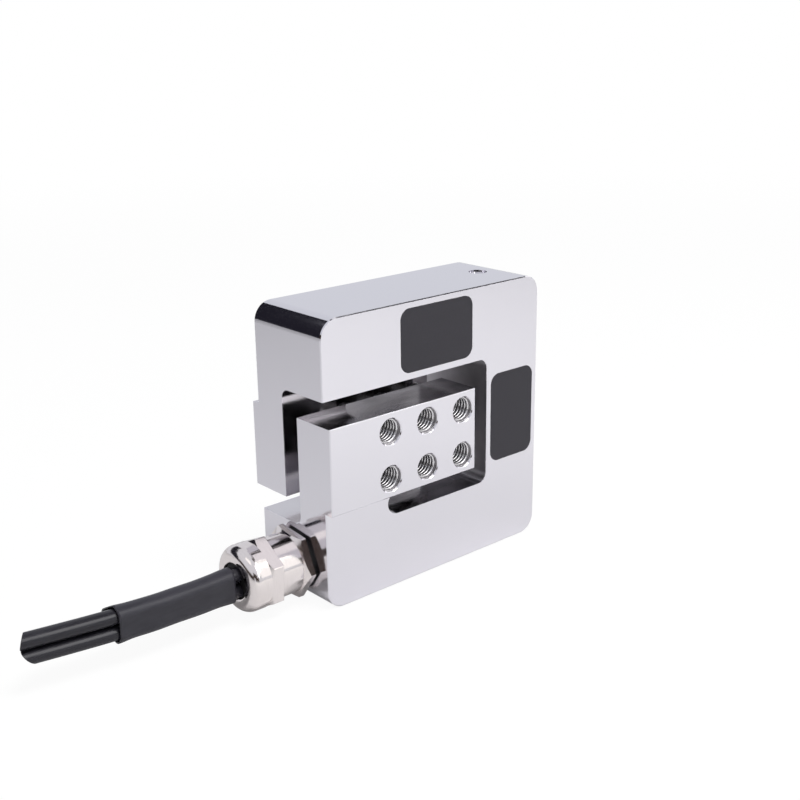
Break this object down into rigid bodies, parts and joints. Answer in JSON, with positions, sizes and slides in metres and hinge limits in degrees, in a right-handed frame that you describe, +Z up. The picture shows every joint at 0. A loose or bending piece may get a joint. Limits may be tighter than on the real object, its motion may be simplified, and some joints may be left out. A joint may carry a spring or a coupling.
{
  "type": "three-axis force sensor",
  "caption": "Multi-axis force sensor: a milled square block with slotted front and rear mounting plates, tapped holes, covered gauge pockets and a cable gland at one end.",
  "frame": {"origin": "centre of the block's bottom face", "axes": "+X from the cable gland's end to the column, +Y from the front pad to the rear pad, +Z up"},
  "size_m": [0.1777, 0.038, 0.09],
  "materials": {
    "plated_steel": "polished nickel plate",
    "plug_steel": "plain steel",
    "plated_brass": "nickel plate",
    "cover_plate": "matte black anodised",
    "washer_rubber": "matte",
    "seal_rubber": "matte",
    "claw_plastic": "matte",
    "cable_jacket": "satin",
    "shrink_sleeve": "satin",
    "lead_insulation": "satin",
    "terminal_board": "matte",
    "gauge_film": "satin"
  },
  "bodies": {
    "root": {"sensor_body": "plated_steel", "duct_plug": "plug_steel", "gland_body": "plated_brass", "gland_nut": "plated_brass", "gland_washer": "washer_rubber", "gland_seal": "seal_rubber", "gland_claw": "claw_plastic", "upper_cable": "cable_jacket", "lower_cable": "cable_jacket", "rear_cable": "cable_jacket", "cable_sleeve": "shrink_sleeve", "z_lead": "lead_insulation", "x_lead": "lead_insulation", "y_lead": "lead_insulation", "z_terminal_board": "terminal_board", "x_terminal_board": "terminal_board", "y_terminal_board": "terminal_board", "z_front_cover": "cover_plate", "z_front_gauge": "gauge_film", "z_rear_cover": "cover_plate", "z_rear_gauge": "gauge_film", "x_front_cover": "cover_plate", "x_front_gauge": "gauge_film", "x_rear_cover": "cover_plate", "x_rear_gauge": "gauge_film", "y_upper_cover": "plated_steel", "y_upper_gauge": "gauge_film", "y_lower_cover": "plated_steel", "y_lower_gauge": "gauge_film"}
  },
  "joints": []
}
